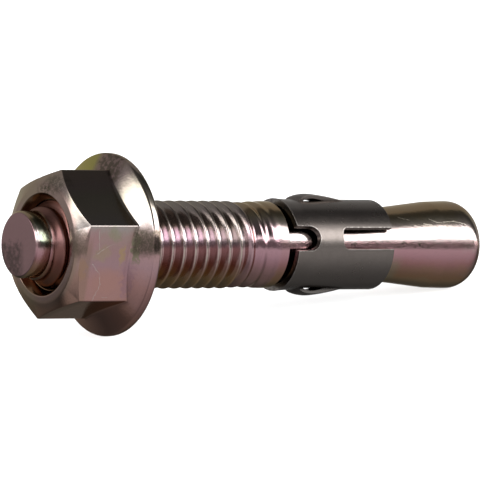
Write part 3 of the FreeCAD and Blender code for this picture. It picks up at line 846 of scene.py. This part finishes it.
def nut_zinc():
    material, finish = new_finish("nut_zinc")
    spot = Spot(finish)
    station, front, up, sine, radius = spot.station, spot.front, spot.up, spot.sine, spot.radius
    out, across = spot.along(FLAT_OUT), spot.along(FLAT_UP)
    slow = finish.noise(spot.place, 0.3, 3.0, 0.6, 11.0)
    quick = finish.noise(spot.place, 1.5, 2.0, 0.55, 12.0)
    fine = finish.noise(spot.place, 6.0, 2.0, 0.6, 13.0)
    wobble = (slow - 0.5) * 0.1 + (quick - 0.5) * 0.05
    speckle = fine * 0.6 + quick * 0.4

    face = station.between(4.3, 4.0)
    before_flats = station.between(6.3, 5.6)
    on_flat = out.between(9.1, 9.3) * radius.between(10.95, 10.85)
    bevel = before_flats * radius.between(7.6, 8.2) * sine.between(0.15, -0.1)
    worn = sum(patch(front, up, *place_and_size) for place_and_size in WORN) * before_flats
    crown = station.between(5.3, 5.0) * radius.between(7.3, 7.8)
    blots = sum(patch(front, up, *place_and_size) for place_and_size in BLOTS)
    blots = blots * station.between(6.0, 5.6) * (fine * 0.5 + quick * 0.5).between(0.58, 0.46)
    flange = station.between(12.1, 12.6)
    # Painted dark reflection: a speckled dark streak on the crown and the flange, at the height of the
    # axis.
    dark_reflection_streak = (up + (quick - 0.5) * 2.2).band(-1.4, 2.0, 0.6) * (crown * 0.7 + flange)
    dark_reflection_streak = dark_reflection_streak * front.between(0, 2) * (speckle.between(0.62, 0.42) * 0.4 + 0.5)
    yellow = front.between(1.0, -1.5) * up.between(8.0, 10.0) * flange * station.between(15.2, 14.9)
    smudge = up.between(7.5, 9.0) * front.between(-1.2, 0.6) * front.between(6.2, 4.5)
    smudge = smudge * flange * station.between(15.0, 14.7)
    mouth = radius.between(7.25, 7.05) * station.between(14.0, 13.0)
    along, aside = station + (quick - 0.5) * 0.9, across + (slow - 0.5) * 1.2
    marks = stroke(station, across, *SCRATCHES[0], 0.08)
    marks = marks + sum(stroke(along, aside, start, end, 0.09) for start, end in SCRATCHES[1:])
    marks = marks * on_flat * quick.between(0.3, 0.55)
    dull = fine.between(0.55, 0.75)
    dints = sum(patch(front, up, middle, (size, size)) for middle, size in DINTS)

    film = []
    for middle, half, colour, amount in PATCHES:
        spread = patch(station + (quick - 0.5) * 2.2, across + (slow - 0.5) * 4, middle, half)
        film.append((spread * on_flat * amount, colour))
    tone = finish.coats(painted_tone_by_height(spot, NUT, wobble), [
        *film,
        (face * 0.9, NUT_FACE),
        (bevel * 0.5, BEVEL_BROWN),
        (worn * 0.5, WORN_OLIVE),
        (blots * 0.65, SOOT_AND_DARK_REFLECTION),
        (dark_reflection_streak, SOOT_AND_DARK_REFLECTION),
        (yellow, FLANGE_YELLOW),
        (smudge * 0.7, SMUDGED),
        (smudge * quick.between(0.42, 0.56) * 0.75, SOOT_AND_DARK_REFLECTION),
        (mouth * 0.9, BORE_BROWN),
        (marks * 0.6, SCRATCHED),
        (dull * 0.2, DULL),
    ])
    rough = 0.11 + dull * 0.1 + on_flat * 0.06
    height = (quick - 0.5) * 0.008 + (fine - 0.5) * 0.002 - marks * 0.01 - dints * face * 0.02
    metal_shader(finish, tone, rough, height, ZINC_EDGE)
    return material


# %% [markdown]
# ## The clip's finish
#
# The clip is plain dark sheet steel, satin rather than bright. Its greys by height are painted light and
# shade: lighter just under its highlight and darker above it. The die has pressed a burr up along its
# cut edges, which is rubbed bright: the mask is the distance from the blank's openings, worked out as
# for the mesh. The cut wall beside the lower wing is painted nearly black, a painted shade in the slit
# beside the wing.

# %% The clip
CLIP_BROWN, CLIP_SPECK, BURR = (0.10, 0.085, 0.075), (0.07, 0.062, 0.058), (0.42, 0.39, 0.37)
SLIT_SHADE, STEEL_EDGE = (0.035, 0.032, 0.03), (0.95, 0.93, 0.9, 1)


def clip_steel():
    material, finish = new_finish("clip_steel")
    spot = Spot(finish)
    station = spot.station
    slow = finish.noise(spot.place, 0.5, 3.0, 0.6, 6.0)
    quick = finish.noise(spot.place, 2.0, 3.0, 0.6, 7.0)
    fine = finish.noise(spot.place, 9.0, 2.0, 0.6, 5.0)

    angle = spot.up.math("ARCTAN2", spot.up, spot.front)
    off = abs((angle - math.radians(SLOTS_AT)) * MIDDLE)
    past = (station - NOTCH_ROUND_AT).at_least(0.0)
    notch = (off * off + past * past) ** 0.5 - NOTCH_HALF
    beside = (off - (SLOT_HALF - SLOT_CORNER)).at_least(0.0)
    before = (SLOT_START + SLOT_CORNER - station).at_least(0.0)
    slot = (beside * beside + before * before) ** 0.5 - SLOT_CORNER
    from_edge = notch.at_most(slot).at_most(station - CLIP_START)
    burr = from_edge.between(0.2, 0.05) * quick.between(0.35, 0.6) * 0.8
    # Painted shade: the cut wall beside the lower wing is made nearly black.
    slit_shade = spot.along(spoke(WING_HALF)).band(-0.12, 0.12, 0.03) * spot.up.between(-5.8, -6.1)
    slit_shade = slit_shade * station.band(WING_START, WING_STOP, 0.05)

    tone = finish.coats(painted_tone_by_height(spot, STEEL, (slow - 0.5) * 0.06), [
        (slow.between(0.4, 0.7) * 0.15, CLIP_BROWN),
        (fine.between(0.5, 0.72) * 0.35, CLIP_SPECK),
        (burr * 0.7, BURR),
        (slit_shade, SLIT_SHADE),
    ])
    rough = 0.235 + slow * 0.06 - burr * 0.08
    height = (quick - 0.5) * 0.006 + (fine - 0.5) * 0.003
    metal_shader(finish, tone, rough, height, STEEL_EDGE)
    return material


for piece, material in ((stud, stud_zinc()), (nut, nut_zinc()), (clip, clip_steel())):
    piece.data.materials.clear()
    piece.data.materials.append(material)
    print(piece.name, "wears", material.name, "of", len(material.node_tree.nodes), "nodes")

# %% [markdown]
# ## The studio
#
# Polished metal shows what stands around it, so the light is planned as a picture of the room. It is
# painted on the sky by the angle round the stud's axis, where each step of the list is an edge in the
# metal: a long soft box above the camera's right shoulder, dark above it, and a pale table below that
# fades out towards the stud's own shade. What faces along the stud, such as the nut's bevel and cone,
# looks to the left instead, and there the picture goes by height alone. A dark gap in it keeps the line
# between the hexagon and the flange crisp.

# %% The room in the mirror
BRIGHT = 5.0
GAP_LIGHT = 0.1
ROUND = [
    (-180, 0.48), (-168, 0.2), (-146, 0.07), (-124, 0.12), (-110, 0.18), (-86, 0.23), (-66, 0.33),
    (-46, 0.5), (-30, 0.66), (-16, 0.76), (-12, 0.7), (-8, 0.22), (6, 0.2), (10, 0.5), (14, 4.4), (45, 4.4),
    (51, 0.8), (56, 0.28), (66, 0.16), (78, 0.08), (86, 0.055), (98, 0.07), (107, 0.27), (130, 0.33),
    (150, 0.4), (168, 0.5), (180, 0.48),
]
LEFT = [
    (-1.0, 0.08), (-0.62, 0.2), (-0.5, 0.36), (-0.3, 0.6), (-0.13, 0.72), (-0.08, 0.5), (0.02, 0.5),
    (0.07, 0.7), (0.14, 1.0), (0.2, 2.4), (0.26, 4.2), (0.5, 4.2), (0.57, 0.8), (0.62, 0.3), (1.0, 0.12),
]
world = bpy.data.worlds.new("studio")
bpy.context.scene.world = world
world.use_nodes = True
room = Finish(world.node_tree)
sight = room.node("ShaderNodeTexCoord", {}, [], "Generated")
to_front, to_up, to_right = (room.dot(sight, direction) for direction in (FRONT, UPWARD, ALONG))
turn = to_up.math("ARCTAN2", to_up, to_front) / (2 * math.pi) + 0.5
stops = [((angle + 180) / 360, (light / BRIGHT,) * 3) for angle, light in ROUND]
round_axis = room.node("ShaderNodeValToRGB", {"stops": stops}, [turn])
stops = [((rise + 1) / 2, (light / BRIGHT,) * 3) for rise, light in LEFT]
left = room.node("ShaderNodeValToRGB", {"stops": stops}, [to_up * 0.5 + 0.5])
gap = to_right.between(0.25, 0.0) * to_up.between(0.15, 0.35) * to_front.between(-0.3, 0.05)
to_left = (to_right * -1).between(0.62, 0.8) * to_front.between(-0.6, -0.4)
light = room.coats(round_axis, [(gap, (GAP_LIGHT / BRIGHT,) * 3), (to_left, left)])
background = room.node("ShaderNodeBackground", {}, [light, BRIGHT])
room.node("ShaderNodeOutputWorld", {}, [background])
print("room of", len(world.node_tree.nodes), "nodes")

# %% [markdown]
# The floor is pale and plain, and hidden from reflections, so that the table in the mirror is the
# painted one. The lamp over it keeps it even and casts no shadow, so only a faint shade is left under
# the anchor.

# %% The floor and the lamp over it
bpy.ops.mesh.primitive_plane_add(size=6, location=(0, 0, 0))
floor = bpy.context.object
floor.name = "floor"
pale, finish = new_finish("pale_floor")
paint = finish.node("ShaderNodeBsdfDiffuse", {}, [(0.86, 0.86, 0.86, 1)])
finish.node("ShaderNodeOutputMaterial", {}, [paint])
floor.data.materials.append(pale)
floor.visible_glossy = False
lamp = bpy.data.lights.new("lamp", "AREA")
lamp.shape = "DISK"
lamp.size = 2.0
lamp.energy = 30.0
lamp.use_shadow = False
over = bpy.data.objects.new("lamp", lamp)
over.location = (-0.1, -0.15, 1.2)
over.rotation_euler = Vector(over.location).to_track_quat("Z", "Y").to_euler()
over.visible_glossy = False
over.visible_camera = False
bpy.context.scene.collection.objects.link(over)
print("lamp", round(over.location.length, 2), "m away,", lamp.energy, "W")

# %% [markdown]
# ## The camera
#
# A long lens from three quarters of a metre away, a little above the stud and towards its flat point.
# It looks at a point on the axis, and a small shift of the lens sets the stud at the height it has in
# the picture.

# %% The camera
AIM_STATION, DISTANCE = 37.35, 0.7376
azimuth, elevation = math.radians(-34.65), math.radians(10.9)
level = math.cos(elevation)
back = Vector((math.sin(azimuth) * level, -math.cos(azimuth) * level, math.sin(elevation)))
camera = bpy.data.objects.new("camera", bpy.data.cameras.new("camera"))
bpy.context.scene.collection.objects.link(camera)
camera.data.lens = 390
camera.data.sensor_width = 36
camera.data.clip_start, camera.data.clip_end = 0.05, 20
camera.data.shift_y = 4.5 / 480
camera.location = Vector(FLAT_POINT + ALONG * AIM_STATION * MM) + back * DISTANCE
camera.rotation_mode = "QUATERNION"
camera.rotation_quaternion = back.to_track_quat("Z", "Y")
bpy.context.scene.camera = camera
bpy.context.scene.view_settings.view_transform = "Standard"
bpy.context.scene.view_settings.look = "None"
print("camera at", [round(x, 3) for x in camera.location])
